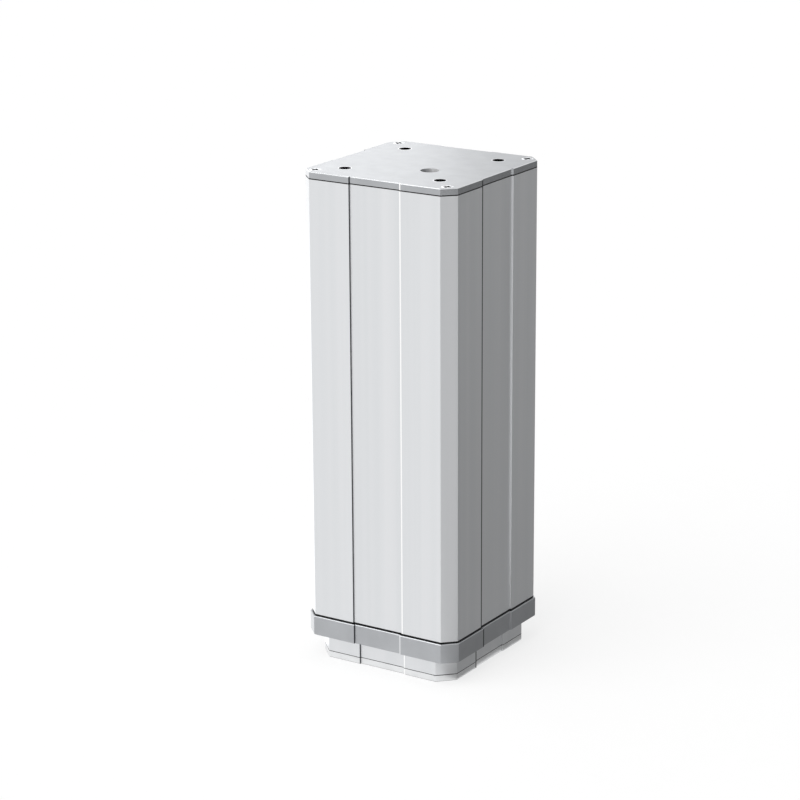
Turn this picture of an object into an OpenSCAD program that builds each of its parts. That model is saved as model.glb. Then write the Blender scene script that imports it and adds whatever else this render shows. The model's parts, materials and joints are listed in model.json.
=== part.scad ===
// Electric lifting column: two telescoping aluminium profiles, driven from inside by a motor,
// a planetary gearbox and a trapezoidal spindle. It is drawn fully lowered.
// Millimetres. The origin is the centre of the base plate's underside, +Z is up.

/* [Travel] */
// Lift from fully lowered to fully raised
stroke = 200; // [100:10:400]

/* [Outer profile] */
// Width of the outer profile across its flat sides
outer_w = 150; // [144:1:190]
// Wall thickness of the outer profile
outer_wall = 3.5; // [2.5:0.1:4.5]
// Leg of the 45 degree chamfer on the outer profile's corners
outer_chamfer = 10.5; // [9:0.1:13]
// Width of the shallow groove down the middle of each outer side
outer_groove_w = 49.8; // [30:0.2:54]
// Depth of the grooves in both profiles
groove_depth = 1.2; // [1:0.1:2.4]

/* [Inner profile] */
// Gap between the two profiles, filled by the glides
slide_gap = 3; // [2.8:0.1:4]
// Wall thickness of the inner profile
inner_wall = 3.5; // [2.5:0.1:5]
// Leg of the 45 degree chamfer on the inner profile's corners
inner_chamfer = 13.6; // [13.6:0.1:16]
// Width of the shallow groove down the middle of each inner side
inner_groove_w = 45.6; // [30:0.2:52]

/* [Screw ports] */
// Inner radius of the open round ports in the profiles' corners
port_core_r = 2.25; // [2:0.05:2.4]
// Wall around a port
port_wall = 1.5; // [1.2:0.1:1.8]
// How far a port's centre lies in from the middle of its corner chamfer, along X and along Y
port_inset = 4.75; // [4.5:0.05:5]
// Width of the slot that opens a port towards the inside
port_slot_w = 2.4; // [1.5:0.1:3]

/* [End plates] */
// Thickness of the top plate and the base plate
plate_t = 6; // [5:0.5:10]
// Spacing of the tapped mounting holes in both plates, along X and along Y
mount_spacing = 94; // [80:1:100]
// Core radius of the mounting threads
mount_core_r = 4.25; // [3.4:0.05:5.1]
// Chamfer at the mouth of a mounting thread
mount_mouth = 0.5; // [0.3:0.1:1.5]
// Chamfer that breaks the outer edges of the plates and the collar
edge_break = 0.5; // [0.3:0.1:0.8]
// Radius of the cable hole in the top plate
cable_hole_r = 8; // [5:0.5:8.5]
// Place of the cable hole along X
cable_hole_x = 19.2; // [10:0.1:22]
// Place of the cable hole along Y
cable_hole_y = -18.4; // [-22:0.1:-10]

/* [Collar] */
// Height of inner profile that shows under the collar when the column is down
foot_show = 15.5; // [8:0.5:40]
// Height of the collar
collar_h = 17.4; // [16:0.1:30]
// How far the collar stands out from the outer profile
collar_lip = 1.5; // [0.5:0.1:3]
// Gap between the collar and the inner profile
collar_gap = 1.2; // [1:0.1:1.4]
// Height of the wiper seal in the collar
wiper_h = 4; // [3:0.1:4]
// Distance from the collar's top to the wiper seal
wiper_top = 4.9; // [4:0.1:5]
// Distance between the wiper's lip and the inner profile
wiper_play = 0.3; // [0.2:0.05:0.5]
// How far the wiper seal reaches into its groove
wiper_seat = 0.6; // [0.4:0.05:0.65]

/* [Glides] */
// Thickness of the lower guide's flange, which shows as a dark line over the collar
guide_flange_t = 1.2; // [1:0.1:3]
// How far that flange is set back from the outer profile's faces
guide_set_back = 0.4; // [0.2:0.1:1]
// Height of the lower guide's tongues inside the outer profile
guide_h = 45; // [30:1:80]
// Length of the upper glide pads
pad_h = 60; // [40:1:90]
// Distance from the inner profile's top edge to the pads
pad_drop = 4; // [2:0.5:10]
// Free edge left of and right of each glide
glide_edge = 1.2; // [0.8:0.1:3]
// Sliding clearance of all glides
glide_play = 0.2; // [0.15:0.05:0.3]
// Radius of the pads' clip pins
pad_pin_r = 3; // [2:0.5:4]
// Distance of the clip pins from the pads' ends
pad_pin_inset = 15; // [6:0.5:18]
// Height of the rubber buffers on the inner profile
buffer_h = 9.7; // [6:0.1:15]
// Radius of the buffers
buffer_r = 4.6; // [3.8:0.1:5]
// Air left between the buffers and the top plate when the column is down
buffer_gap = 0.3; // [0.2:0.1:2]

/* [Spindle and nuts] */
// Radius of the spindle over its thread
spindle_r = 10; // [8:0.5:11]
// Radius of the spindle's bearing journal
journal_r = 6; // [5:0.5:6.5]
// Height kept free between the base plate and the spindle's lower end
end_room = 9; // [8:0.5:20]
// Thickness of the stop washer under the spindle
stop_t = 3; // [2:0.5:5]
// Air between the stop washer and the safety nut when the column is up
stop_gap = 1; // [0.5:0.5:5]
// Height of the safety nut
safety_nut_h = 12; // [8:1:20]
// Wear gap between the two nuts
nut_gap = 0.9; // [0.5:0.1:0.9]
// Height of the spindle nut inside the push tube
nut_body_h = 27.6; // [15:0.1:40]
// Thickness of the spindle nut's flange
nut_flange_t = 3.5; // [2:0.5:6]
// Inner radius of the push tube
tube_bore_r = 13; // [12.5:0.5:15]
// Wall of the push tube
tube_wall = 3; // [2:0.5:4]
// Radius of the foot ring that holds the push tube
foot_r = 30; // [29:0.5:34]
// Thickness of the foot ring
foot_t = 8; // [6:0.5:12]

/* [Bearing block] */
// Air between the spindle nut and the bearing block when the column is down
head_gap = 3; // [1:0.5:10]
// Outer radius of the ball bearings
bearing_r = 14; // [13:0.5:14.5]
// Width of one ball bearing
bearing_w = 8; // [6:0.5:10]
// Radial thickness of a bearing ring
bearing_ring_t = 2; // [1.5:0.1:2.2]
// Thickness of the threaded ring that holds the bearings
retainer_t = 2; // [1.5:0.5:4]
// Height of the lock nut over the bearings
lock_nut_h = 5; // [4:0.5:8]
// Radius of the lock nut
lock_nut_r = 9; // [7.5:0.5:10]
// Height of one coupling hub
hub_h = 10; // [8:0.5:14]
// Height of the coupling's jaws
jaw_h = 8; // [6:0.5:10]
// Radius of the coupling
hub_r = 14; // [12:0.5:16]
// Air above, below and around the coupling
coupling_gap = 1; // [0.5:0.5:2]
// Wall of the bearing block around the bearings and the coupling
block_wall = 3.5; // [3:0.5:6]
// Thickness of the bearing block's flange
block_flange_t = 10; // [8:0.5:14]
// Rounding radius of the flange's four ears
ear_r = 8.5; // [7.5:0.5:10]

/* [Motor and gearbox] */
// Radius of the motor
motor_r = 28.5; // [26:0.5:30]
// Length of the motor can
motor_h = 62; // [45:1:90]
// Radius of the gearbox
gearbox_r = 27; // [26.5:0.5:29]
// Length of the gearbox
gearbox_h = 30; // [22:1:60]
// Radius of the gearbox's output shaft
output_r = 5; // [4:0.5:6]
// Height of the motor's end cap
cap_h = 9; // [6:0.5:16]
// Size of the step round the end cap's rim
cap_step = 3; // [1:0.5:5]
// Width of the socket for the motor's lead
socket_w = 16; // [12:1:20]
// Depth of that socket from front to back
socket_d = 10; // [8:1:14]
// Height of that socket
socket_h = 8; // [6:0.5:10]
// Wall of that socket
socket_wall = 1.2; // [0.8:0.1:2]
// Height kept free over the motor for its cable
cable_room = 12; // [11:0.5:30]
// Width across the flats of the hexagon pillars
pillar_af = 12; // [11:0.5:14]
// Air between the motor and the pillars
pillar_air = 8.5; // [4:0.5:9]

/* [Fits] */
// Radial clearance between a thread and its mating hole
thread_play = 0.05; // [0.02:0.01:0.1]
// Radial clearance of a seat or a shaft in its bore
seat_play = 0.05; // [0.02:0.01:0.1]
// Radial clearance of a screw in its through hole
through_play = 0.3; // [0.2:0.1:0.5]
// Room left past the end of a screw or stud in its blind hole, and over a sunk screw head
end_play = 2; // [1:0.5:3]

/* [Hidden] */

$fn = 64;
eps = 0.01;
clear_through = 50;

// Heights, from the base plate up.
spindle_end = plate_t + end_room;
safety_nut_z = spindle_end + stroke + stop_gap;
nut_z = safety_nut_z + safety_nut_h + nut_gap;
tube_top = nut_z + nut_body_h;
nut_top = tube_top + nut_flange_t;
block_z = nut_top + head_gap;
bearing_z = block_z + retainer_t;
lock_nut_z = bearing_z + 2 * bearing_w;
lower_hub_z = lock_nut_z + lock_nut_h + coupling_gap;
spider_z = lower_hub_z + hub_h;
upper_hub_z = spider_z + jaw_h;
block_top = upper_hub_z + hub_h + coupling_gap;
motor_z = block_top + gearbox_h;
cap_z = motor_z + motor_h;
cap_top = cap_z + cap_h;
top_plate_z = cap_top + cable_room;
closed_h = top_plate_z + plate_t;
inner_top = top_plate_z - buffer_gap - buffer_h;
collar_z = plate_t + foot_show;
collar_top = collar_z + collar_h;
outer_z = collar_top + guide_flange_t;

// Widths that follow from the gap between the profiles.
inner_w = outer_w - 2 * outer_wall - 2 * slide_gap;
collar_w = outer_w + 2 * collar_lip;
collar_chamfer = outer_chamfer + collar_lip * (2 - sqrt(2));
collar_groove_w = outer_groove_w - 2 * collar_lip;
port_r = port_core_r + port_wall;
outer_port = port_place(outer_w, outer_chamfer);
inner_port = port_place(inner_w, inner_chamfer);

// The flat strip beside a groove, where the glides run.
glide_from = outer_groove_w / 2 + outer_wall + glide_edge;
glide_to = inner_w / 2 - inner_chamfer - glide_edge;
glide_mid = (glide_from + glide_to) / 2;
glide_w = glide_to - glide_from;

// Drive pieces.
tube_r = tube_bore_r + tube_wall;
inner_race_r = journal_r + bearing_ring_t;
shield_gap = 0.3;
shield_t = 0.5;
nut_thread_r = spindle_r + thread_play;
chamber_r = hub_r + coupling_gap;
bell_r = max(bearing_r, chamber_r) + block_wall;
pillar_corner_r = pillar_af / 2 / cos(30);
pillar_place = (motor_r + pillar_air + pillar_corner_r) / sqrt(2);
stud_len = plate_t - end_play;
coupling_jaws = 3;
jaw_sweep = 36;
leg_sweep = 23;

// Cap screws: [thread radius, head radius, head height, width of the hexagon, length].
// Countersunk screws: [thread radius, head radius, recess depth, width of the recess, length].
port_thread_r = port_core_r - thread_play;
plate_screw = [port_thread_r, 4.9, 2.1, 1.2, 20];
collar_screw = [port_thread_r, 4.25, 5, 4, 26];
foot_screw = [2.5, 5.6, 2.4, 1.4, 12];
pillar_screw = [2.5, 5, 5, 5, 22];
gearbox_screw = [1.65, 3.5, 4, 3, 17];
stop_screw = [2.5, 5, 3, 4, 12];
collar_bore_depth = collar_screw[2] + end_play;
foot_circle_r = (tube_r + foot_r) / 2;
gearbox_circle_r = bell_r + gearbox_screw[1] + coupling_gap / 2;

// ---------- Shared outlines ----------

function quarter_turn(p, q) = [
    p.x * cos(90 * q) - p.y * sin(90 * q),
    p.x * sin(90 * q) + p.y * cos(90 * q)
];

function port_place(width, chamfer) = (width - chamfer) / 2 - port_inset;

// A square with chamfered corners and a shallow groove in each side, grown outwards by grow.
module profile_outline(width, chamfer, groove_w, grow = 0) {
    half = width / 2 + grow;
    corner = half - chamfer - grow * (2 - sqrt(2));
    groove = groove_w / 2 - grow;
    floor = half - groove_depth;
    side = [
        [half, -corner], [half, -groove], [floor, -groove],
        [floor, groove], [half, groove], [half, corner]
    ];
    polygon([for (q = [0:3]) for (p = side) quarter_turn(p, q)]);
}

module outer_outline(grow = 0) {
    profile_outline(outer_w, outer_chamfer, outer_groove_w, grow);
}

module inner_outline(grow = 0) {
    profile_outline(inner_w, inner_chamfer, inner_groove_w, grow);
}

// Repeats its children at the four corners of a square, each turned to face outwards.
module at_corners(place) {
    for (q = [0:3])
        rotate(90 * q) translate([place, place]) children();
}

// Repeats its children on both flanks of each of the four sides, which lie at +X before turning.
module at_flanks() {
    for (q = [0:3]) rotate(90 * q)
        for (side = [-1, 1]) translate([0, side * glide_mid]) children();
}

// Cross-section of the open screw ports, joined to the corner walls.
module port_rings(place) {
    at_corners(place) circle(r = port_r);
}

module port_cores(place) {
    at_corners(place) {
        circle(r = port_core_r);
        rotate(225) translate([0, -port_slot_w / 2]) square([port_r + port_core_r, port_slot_w]);
    }
}

// ---------- Screws ----------

// A cap screw with its head's underside at z = 0, head up, shank down.
module cap_screw(size) {
    difference() {
        union() {
            translate([0, 0, -size[4]]) cylinder(r = size[0], h = size[4]);
            cylinder(r = size[1], h = size[2]);
        }
        translate([0, 0, size[2] / 2]) cylinder(r = size[3] / 2 / cos(30), h = size[2], $fn = 6);
    }
}

// A countersunk screw with its face at z = 0 and a cross recess, shank down.
module countersunk_screw(size) {
    cone_h = size[1] - size[0];
    difference() {
        union() {
            translate([0, 0, -cone_h]) cylinder(r1 = size[0], r2 = size[1], h = cone_h);
            translate([0, 0, -size[4]]) cylinder(r = size[0], h = size[4] - cone_h + eps);
        }
        for (turn = [0, 90]) rotate(turn)
            translate([-size[1] / 2, -size[3] / 2, -size[2]])
                cube([size[1], size[3], size[2] + eps]);
    }
}

// The seat of a countersunk screw in a plate, its mouth at z = 0.
module countersink(size) {
    through_r = size[0] + through_play;
    translate([0, 0, -clear_through]) cylinder(r = through_r, h = clear_through + eps);
    translate([0, 0, through_r - size[1] - through_play])
        cylinder(r1 = through_r, r2 = size[1] + through_play + eps,
                 h = size[1] + through_play - through_r + eps);
}

// Bars that break the outer edges of a chamfered, grooved square at height z. Those in the
// grooves stop short of the corners.
module edge_breaks(width, chamfer, groove_w, z) {
    side = edge_break * sqrt(2);
    reach = (width - chamfer) / sqrt(2);
    for (turn = [0:90:270]) {
        rotate(turn) translate([width / 2, 0, z]) rotate([0, 45, 0])
            cube([side, width, side], center = true);
        rotate(turn) translate([width / 2 - groove_depth, 0, z]) rotate([0, 45, 0])
            cube([side, groove_w - 2 * edge_break, side], center = true);
        rotate(turn + 45) translate([reach, 0, z]) rotate([0, 45, 0])
            cube([side, width / 2, side], center = true);
    }
}

// A tapped mounting hole through a plate, its chamfered mouth at z = 0.
module mounting_hole() {
    translate([0, 0, -plate_t - eps]) cylinder(r = mount_core_r, h = plate_t + 2 * eps);
    translate([0, 0, -mount_mouth])
        cylinder(r1 = mount_core_r, r2 = mount_core_r + mount_mouth + eps, h = mount_mouth + eps);
}

// ---------- Base: what stands still ----------

module base_plate() color("gainsboro") {
    difference() {
        linear_extrude(plate_t) inner_outline();
        for (z = [0, plate_t]) edge_breaks(inner_w, inner_chamfer, inner_groove_w, z);
        mirror([0, 0, 1]) at_corners(mount_spacing / 2) mounting_hole();
        mirror([0, 0, 1]) at_corners(inner_port) countersink(plate_screw);
        mirror([0, 0, 1]) at_corners(foot_circle_r / sqrt(2)) countersink(foot_screw);
    }
}

module base_plate_screws() color("silver") {
    mirror([0, 0, 1]) at_corners(inner_port) countersunk_screw(plate_screw);
}

module inner_profile() color("lightgray") {
    difference() {
        translate([0, 0, plate_t]) linear_extrude(inner_top - plate_t) difference() {
            union() {
                difference() {
                    inner_outline();
                    inner_outline(-inner_wall);
                }
                port_rings(inner_port);
            }
            port_cores(inner_port);
        }
        at_flanks() pad_pins(pad_pin_r + seat_play, eps);
    }
}

// The clip pins of one glide pad, through the inner profile's wall, made longer by extra.
module pad_pins(pin_r, extra) {
    for (drop = [pad_pin_inset, pad_h - pad_pin_inset])
        translate([inner_w / 2 - inner_wall - extra, 0, inner_top - pad_drop - drop])
            rotate([0, 90, 0]) cylinder(r = pin_r, h = inner_wall + 2 * extra);
}

module upper_glide_pads() color("ivory") {
    pad_t = slide_gap - glide_play;
    at_flanks() {
        translate([inner_w / 2, -glide_w / 2, inner_top - pad_drop - pad_h])
            cube([pad_t, glide_w, pad_h]);
        pad_pins(pad_pin_r, 0);
    }
}

module end_stop_buffers() color("dimgray") {
    stem = buffer_h;
    at_corners(inner_port) {
        translate([0, 0, inner_top]) cylinder(r = buffer_r, h = buffer_h);
        translate([0, 0, inner_top - stem]) cylinder(r = port_thread_r, h = stem + eps);
    }
}

module tube_foot() color("darkgray") {
    difference() {
        translate([0, 0, plate_t]) cylinder(r = foot_r, h = foot_t);
        translate([0, 0, plate_t - eps]) cylinder(r = tube_r + seat_play, h = foot_t + 2 * eps);
        at_corners(foot_circle_r / sqrt(2)) translate([0, 0, plate_t - eps])
            cylinder(r = foot_screw[0] + thread_play, h = foot_t + 2 * eps);
    }
}

module tube_foot_screws() color("silver") {
    mirror([0, 0, 1]) at_corners(foot_circle_r / sqrt(2)) countersunk_screw(foot_screw);
}

module push_tube() color("slategray") {
    translate([0, 0, plate_t]) difference() {
        cylinder(r = tube_r, h = tube_top - plate_t);
        translate([0, 0, -eps]) cylinder(r = tube_bore_r, h = tube_top - plate_t + 2 * eps);
    }
}

module spindle_nut() color("goldenrod") {
    difference() {
        union() {
            translate([0, 0, nut_z]) cylinder(r = tube_bore_r - seat_play, h = nut_body_h + eps);
            translate([0, 0, tube_top]) cylinder(r = tube_r, h = nut_flange_t);
        }
        translate([0, 0, nut_z - eps]) cylinder(r = nut_thread_r, h = nut_top - nut_z + 2 * eps);
    }
}

module safety_nut() color("darkgoldenrod") {
    translate([0, 0, safety_nut_z]) difference() {
        cylinder(r = tube_bore_r - seat_play, h = safety_nut_h);
        translate([0, 0, -eps]) cylinder(r = nut_thread_r, h = safety_nut_h + 2 * eps);
    }
}

// ---------- Lift: what rises ----------

module top_plate() color("gainsboro") {
    difference() {
        translate([0, 0, top_plate_z]) linear_extrude(plate_t) outer_outline();
        for (z = [top_plate_z, closed_h]) edge_breaks(outer_w, outer_chamfer, outer_groove_w, z);
        translate([0, 0, closed_h]) {
            at_corners(mount_spacing / 2) mounting_hole();
            at_corners(outer_port) countersink(plate_screw);
        }
        translate([cable_hole_x, cable_hole_y, top_plate_z - eps])
            cylinder(r = cable_hole_r, h = plate_t + 2 * eps);
        at_corners(pillar_place) translate([0, 0, top_plate_z - eps])
            cylinder(r = pillar_screw[0] + thread_play, h = stud_len + eps);
    }
}

module top_plate_screws() color("silver") {
    translate([0, 0, closed_h]) at_corners(outer_port) countersunk_screw(plate_screw);
}

module outer_profile() color("lightgray") {
    translate([0, 0, outer_z]) linear_extrude(top_plate_z - outer_z) difference() {
        union() {
            difference() {
                outer_outline();
                outer_outline(-outer_wall);
            }
            port_rings(outer_port);
        }
        port_cores(outer_port);
    }
}

// Flange between the profile's end and the collar, with tongues up the inside of the profile.
module lower_guide() color("black") {
    tongue_t = slide_gap - glide_play;
    translate([0, 0, collar_top]) {
        linear_extrude(guide_flange_t) difference() {
            outer_outline(-guide_set_back);
            inner_outline(glide_play);
            at_corners(outer_port) circle(r = collar_screw[0] + through_play);
        }
        at_flanks() translate([outer_w / 2 - outer_wall - tongue_t, -glide_w / 2])
            cube([tongue_t, glide_w, guide_h]);
    }
}

module collar() color("darkgray") {
    translate([0, 0, collar_z]) difference() {
        linear_extrude(collar_h) difference() {
            outer_outline(collar_lip);
            inner_outline(collar_gap);
        }
        for (z = [0, collar_h]) edge_breaks(collar_w, collar_chamfer, collar_groove_w, z);
        translate([0, 0, collar_h - wiper_top - wiper_h]) linear_extrude(wiper_h)
            inner_outline(collar_gap + wiper_seat);
        at_corners(outer_port) {
            translate([0, 0, -eps])
                cylinder(r = collar_screw[1] + through_play / 2, h = collar_bore_depth + eps);
            cylinder(r = collar_screw[0] + through_play, h = collar_h + eps);
        }
    }
}

module collar_screws() color("silver") {
    translate([0, 0, collar_z + collar_bore_depth]) mirror([0, 0, 1])
        at_corners(outer_port) cap_screw(collar_screw);
}

module wiper_seal() color("black") {
    translate([0, 0, collar_top - wiper_top - wiper_h]) linear_extrude(wiper_h) difference() {
        inner_outline(collar_gap + wiper_seat - seat_play);
        inner_outline(wiper_play);
    }
}

// Hexagon pillars with a threaded stud into the top plate and a tapped lower end.
module pillars() color("silver") {
    tapped_depth = pillar_screw[4] - block_flange_t + end_play;
    at_corners(pillar_place) difference() {
        union() {
            translate([0, 0, block_top])
                cylinder(r = pillar_corner_r, h = top_plate_z - block_top, $fn = 6);
            translate([0, 0, top_plate_z - eps]) cylinder(r = pillar_screw[0], h = stud_len - eps);
        }
        translate([0, 0, block_top - eps])
            cylinder(r = pillar_screw[0] + thread_play, h = tapped_depth);
    }
}

module pillar_screws() color("silver") {
    translate([0, 0, block_top - block_flange_t]) mirror([0, 0, 1])
        at_corners(pillar_place) cap_screw(pillar_screw);
}

// Cast block: a flange with four ears, and a bell around the coupling and the bearings.
module bearing_block() color("darkgray") {
    ear_reach = pillar_place * sqrt(2);
    shoulder_r = bearing_r - bearing_ring_t - coupling_gap / 2;
    seat_top = lock_nut_z;
    chamber_z = lock_nut_z + lock_nut_h - coupling_gap;
    flange_z = block_top - block_flange_t;
    difference() {
        union() {
            translate([0, 0, block_z]) cylinder(r = bell_r, h = block_top - block_z);
            translate([0, 0, flange_z]) cylinder(r = motor_r, h = block_flange_t);
            for (turn = [45, 135]) rotate(turn) translate([-ear_reach, -ear_r, flange_z])
                cube([2 * ear_reach, 2 * ear_r, block_flange_t]);
            at_corners(pillar_place) translate([0, 0, flange_z])
                cylinder(r = ear_r, h = block_flange_t);
        }
        translate([0, 0, block_z - eps])
            cylinder(r = bearing_r + seat_play, h = seat_top - block_z + eps);
        translate([0, 0, seat_top - eps]) cylinder(r = shoulder_r, h = block_top - seat_top);
        translate([0, 0, chamber_z]) cylinder(r = chamber_r, h = block_top - chamber_z + eps);
        at_corners(pillar_place) translate([0, 0, flange_z - eps])
            cylinder(r = pillar_screw[0] + through_play, h = block_flange_t + 2 * eps);
        for (q = [0:3]) rotate(90 * q) translate([gearbox_circle_r, 0, flange_z - eps])
            cylinder(r = gearbox_screw[0] + through_play, h = block_flange_t + 2 * eps);
    }
}

// Two sealed ball bearings: the outer rings with their shields.
module bearing_outer_rings() color("silver") {
    for (row = [0, 1]) translate([0, 0, bearing_z + row * bearing_w]) difference() {
        cylinder(r = bearing_r, h = bearing_w - seat_play);
        translate([0, 0, -eps]) cylinder(r = inner_race_r + shield_gap, h = bearing_w + 2 * eps);
        translate([0, 0, shield_t])
            cylinder(r = bearing_r - bearing_ring_t, h = bearing_w - seat_play - 2 * shield_t);
    }
}

module bearing_retainer() color("dimgray") {
    opening_r = bearing_r - bearing_ring_t - coupling_gap / 2;
    translate([0, 0, block_z]) difference() {
        cylinder(r = bearing_r, h = retainer_t);
        translate([0, 0, -eps]) cylinder(r = opening_r, h = retainer_t + 2 * eps);
    }
}

module gearbox_housing() color("gray") {
    flange_t = 4;
    groove_t = 1;
    shaft_bore = gearbox_h - 2 * flange_t;
    difference() {
        union() {
            translate([0, 0, block_top]) cylinder(r = gearbox_r, h = gearbox_h);
            translate([0, 0, motor_z - flange_t]) cylinder(r = motor_r, h = flange_t);
            translate([0, 0, block_top]) cylinder(r = motor_r, h = flange_t);
        }
        for (row = [1, 2]) translate([0, 0, block_top + row * gearbox_h / 3])
            difference() {
                cylinder(r = motor_r, h = groove_t);
                translate([0, 0, -eps])
                    cylinder(r = gearbox_r - groove_t, h = groove_t + 2 * eps);
            }
        translate([0, 0, block_top - eps]) cylinder(r = output_r + seat_play, h = shaft_bore);
        for (q = [0:3]) rotate(90 * q) translate([gearbox_circle_r, 0, block_top - eps])
            cylinder(r = gearbox_screw[0] + thread_play, h = shaft_bore / 2);
    }
}

module gearbox_screws() color("silver") {
    translate([0, 0, block_top - block_flange_t]) mirror([0, 0, 1])
        for (q = [0:3]) rotate(90 * q) translate([gearbox_circle_r, 0]) cap_screw(gearbox_screw);
}

module motor_can() color("dimgray") {
    translate([0, 0, motor_z]) cylinder(r = motor_r, h = motor_h);
}

module motor_end_cap() color("black") {
    translate([0, 0, cap_z]) {
        cylinder(r = motor_r, h = cap_h - cap_step);
        cylinder(r = motor_r - cap_step, h = cap_h);
    }
}

// Open socket on the end cap for the motor's lead.
module motor_connector() color("white") {
    translate([-motor_r / 2, 0, cap_top]) difference() {
        translate([-socket_w / 2, -socket_d / 2, 0]) cube([socket_w, socket_d, socket_h]);
        translate([socket_wall - socket_w / 2, socket_wall - socket_d / 2, socket_wall])
            cube([socket_w - 2 * socket_wall, socket_d - 2 * socket_wall, socket_h]);
    }
}

// ---------- Spindle: what turns ----------

module spindle() color("silver") {
    difference() {
        union() {
            translate([0, 0, spindle_end]) cylinder(r = spindle_r, h = bearing_z - spindle_end);
            translate([0, 0, bearing_z - eps])
                cylinder(r = journal_r, h = spider_z - bearing_z);
        }
        translate([0, 0, spindle_end - eps])
            cylinder(r = stop_screw[0] + thread_play, h = stop_screw[4]);
    }
}

module spindle_stop() color("silver") {
    washer_r = tube_bore_r - coupling_gap;
    translate([0, 0, spindle_end - stop_t]) {
        difference() {
            cylinder(r = washer_r, h = stop_t);
            translate([0, 0, -eps]) cylinder(r = stop_screw[0], h = stop_t + 2 * eps);
        }
        mirror([0, 0, 1]) cap_screw(stop_screw);
    }
}

module bearing_inner_rings() color("silver") {
    for (row = [0, 1]) translate([0, 0, bearing_z + row * bearing_w]) difference() {
        cylinder(r = inner_race_r, h = bearing_w - seat_play);
        translate([0, 0, -eps]) cylinder(r = journal_r + seat_play, h = bearing_w + 2 * eps);
    }
}

// Round lock nut with four spanner slots.
module spindle_lock_nut() color("dimgray") {
    slot_w = 3;
    slot_depth = 1.2;
    translate([0, 0, lock_nut_z]) difference() {
        cylinder(r = lock_nut_r, h = lock_nut_h);
        translate([0, 0, -eps]) cylinder(r = journal_r + thread_play, h = lock_nut_h + 2 * eps);
        for (q = [0:3]) rotate(90 * q) translate([lock_nut_r - slot_depth, -slot_w / 2, -eps])
            cube([2 * slot_depth, slot_w, lock_nut_h + 2 * eps]);
    }
}

// A flat wedge from the axis out past the coupling, as wide as the given sweep.
module wedge(sweep) {
    reach = 2 * hub_r;
    polygon([
        [0, 0],
        reach * [cos(sweep / 2), -sin(sweep / 2)],
        reach * [cos(sweep / 2), sin(sweep / 2)]
    ]);
}

// One coupling hub: a bored round body with three jaws standing on its upper face.
module coupling_hub(bore_r) {
    difference() {
        cylinder(r = hub_r, h = hub_h);
        translate([0, 0, -eps]) cylinder(r = bore_r + seat_play, h = hub_h + 2 * eps);
    }
    translate([0, 0, hub_h - eps]) linear_extrude(jaw_h - coupling_gap / 2) intersection() {
        difference() {
            circle(r = hub_r - coupling_gap / 4);
            circle(r = hub_r / 2);
        }
        for (jaw = [1:coupling_jaws]) rotate(jaw * 360 / coupling_jaws) wedge(jaw_sweep);
    }
}

module coupling_lower_hub() color("darkgray") {
    translate([0, 0, lower_hub_z]) coupling_hub(journal_r);
}

module coupling_upper_hub() color("darkgray") {
    translate([0, 0, upper_hub_z + hub_h]) mirror([0, 0, 1])
        rotate(180 / coupling_jaws) coupling_hub(output_r);
}

// Elastic star between the jaws.
module coupling_spider() color("firebrick") {
    core_r = hub_r / 2 - coupling_gap / 4;
    legs = 2 * coupling_jaws;
    translate([0, 0, spider_z]) linear_extrude(jaw_h) difference() {
        union() {
            circle(r = core_r);
            intersection() {
                circle(r = hub_r - seat_play);
                for (leg = [1:legs]) rotate((leg - 0.5) * 360 / legs) wedge(leg_sweep);
            }
        }
        circle(r = core_r / 2);
    }
}

module output_shaft() color("silver") {
    shaft_top = block_top + gearbox_h / 2;
    translate([0, 0, upper_hub_z]) cylinder(r = output_r, h = shaft_top - upper_hub_z);
}

// ---------- The column ----------

base_plate();
base_plate_screws();
inner_profile();
upper_glide_pads();
end_stop_buffers();
tube_foot();
tube_foot_screws();
push_tube();
spindle_nut();
safety_nut();
top_plate();
top_plate_screws();
outer_profile();
lower_guide();
collar();
collar_screws();
wiper_seal();
pillars();
pillar_screws();
bearing_block();
bearing_outer_rings();
bearing_retainer();
gearbox_housing();
gearbox_screws();
motor_can();
motor_end_cap();
motor_connector();
spindle();
spindle_stop();
bearing_inner_rings();
spindle_lock_nut();
coupling_lower_hub();
coupling_spider();
coupling_upper_hub();
output_shaft();
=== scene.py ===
# Looks of an electric lifting column: anodised aluminium profiles and plates, acetal guides,
# steel screws and the spindle drive inside. Metres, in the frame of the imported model.

import json
import math

import bmesh
import bpy
from mathutils import Matrix, Vector


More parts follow.
